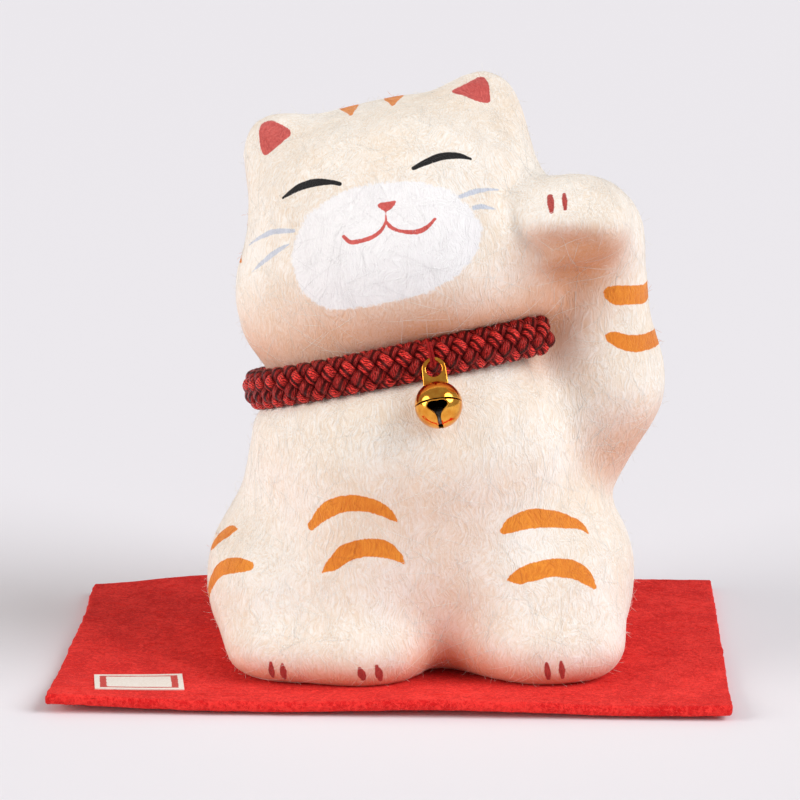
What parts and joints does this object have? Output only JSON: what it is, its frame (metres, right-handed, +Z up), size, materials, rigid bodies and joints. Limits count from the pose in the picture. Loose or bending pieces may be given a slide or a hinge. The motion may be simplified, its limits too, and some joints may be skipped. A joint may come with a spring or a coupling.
{
  "type": "beckoning cat figurine",
  "caption": "Seated beckoning cat of moulded paper with a raised paw, braided red collar and a swinging jingle bell, standing on a felt mat.",
  "frame": {"origin": "middle of the felt mat's underside", "axes": "+Z up, the cat looks along -Y, and its raised left arm is at +X"},
  "size_m": [0.13, 0.087, 0.1162],
  "materials": {
    "paper_pulp": "matt, covered in torn fibrous paper",
    "base_card": "matt card",
    "collar_braid": "satin braid",
    "red_thread": "twisted thread",
    "bell_brass": "polished",
    "pellet_steel": "plain ball",
    "red_felt": "pressed felt",
    "label_paper": "plain paper"
  },
  "bodies": {
    "cat": {"front_shell": "paper_pulp", "rear_shell": "paper_pulp", "base_cover": "base_card", "collar": "collar_braid", "display_mat": "red_felt", "mat_label": "label_paper"},
    "thread": {"bell_thread": "red_thread"},
    "bell": {"bell_loop": "bell_brass", "bell_upper_shell": "bell_brass", "bell_lower_shell": "bell_brass"},
    "pellet": {"bell_pellet": "pellet_steel"}
  },
  "joints": [
    {"name": "bell_swing", "type": "hinge", "parent": "cat", "child": "thread", "pos_m": [0.00768, -0.02913, 0.06717], "axis": [-0.9778, -0.0856, -0.1912], "range_deg": [0, 60]},
    {"name": "bell_sway", "type": "hinge", "parent": "thread", "child": "bell", "pos_m": [0.00814, -0.0302, 0.0653], "axis": [0.0197, 0.8711, -0.4908], "range_deg": [-30, 30]},
    {"name": "pellet_rattle", "type": "slide", "parent": "bell", "child": "pellet", "axis": [0, 0, 1], "range_m": [0, 0.0041]}
  ]
}
